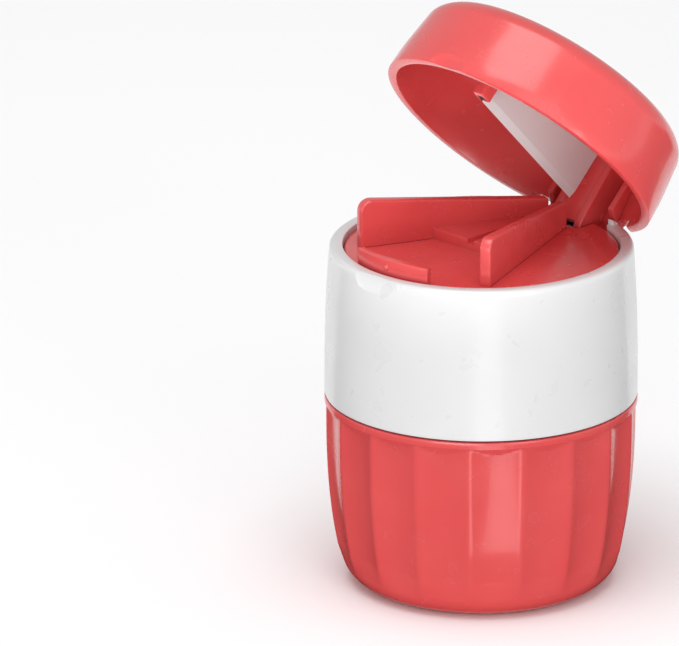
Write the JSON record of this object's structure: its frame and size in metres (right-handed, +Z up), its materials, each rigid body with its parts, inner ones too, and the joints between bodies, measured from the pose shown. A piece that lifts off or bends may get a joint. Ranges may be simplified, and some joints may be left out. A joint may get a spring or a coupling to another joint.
{
  "type": "pill crusher",
  "caption": "Round screw-down pill crusher: fluted red cup with a steel pan, white twist sleeve, and a hinged lid whose blade splits a pill held between two guide walls.",
  "frame": {"origin": "centre of the cup's flat foot", "axes": "+Z up along the screw axis, -Y towards the catch at the front, +Y towards the lid hinge"},
  "size_m": [0.06, 0.0691, 0.1139],
  "materials": {
    "coral_abs": "glossy moulded ABS, coral red",
    "coral_liner": "glossy moulded ABS, coral red, food-grade liner",
    "white_abs": "glossy moulded ABS, white",
    "white_inner": "satin moulded plastic, white",
    "pan_steel": "turned stainless steel",
    "mirror_steel": "mirror-polished stainless steel",
    "blade_steel": "ground stainless steel",
    "screw_steel": "plain stainless steel"
  },
  "bodies": {
    "cup": {"fluted_shell": "coral_abs", "cup_liner": "coral_liner", "crush_pan": "pan_steel", "anvil_disc": "mirror_steel"},
    "press": {"press_plate": "pan_steel", "press_retainer": "screw_steel"},
    "top": {"outer_sleeve": "white_abs", "thread_carrier": "white_inner", "plunger": "white_inner", "plunger_screw_1": "screw_steel", "plunger_screw_2": "screw_steel", "plunger_screw_3": "screw_steel", "cutter_bed": "coral_abs", "guide_wall_left": "coral_abs", "guide_wall_right": "coral_abs", "catch_tongue": "coral_abs", "hinge_pin": "screw_steel"},
    "lid": {"lid_shell": "coral_abs", "blade_holder": "coral_abs", "blade_clip": "coral_abs", "blade": "blade_steel", "blade_pin_1": "screw_steel", "blade_pin_2": "screw_steel"}
  },
  "joints": [
    {"name": "screw_lift", "type": "slide", "parent": "cup", "child": "press", "axis": [0, 0, 1], "range_m": [0, 0.0451]},
    {"name": "screw_turn", "type": "hinge", "parent": "press", "child": "top", "pos_m": [0, 0, 0.045], "axis": [0, 0, 1], "range_deg": [0, 1800]},
    {"name": "lid_hinge", "type": "hinge", "parent": "top", "child": "lid", "pos_m": [0, 0.0247, 0.0644], "axis": [-1, 0, 0], "range_deg": [-46, 44]}
  ],
  "couplings": [
    {"joint": "screw_lift", "follows": "screw_turn", "m_per_rad": 0.0014324}
  ]
}
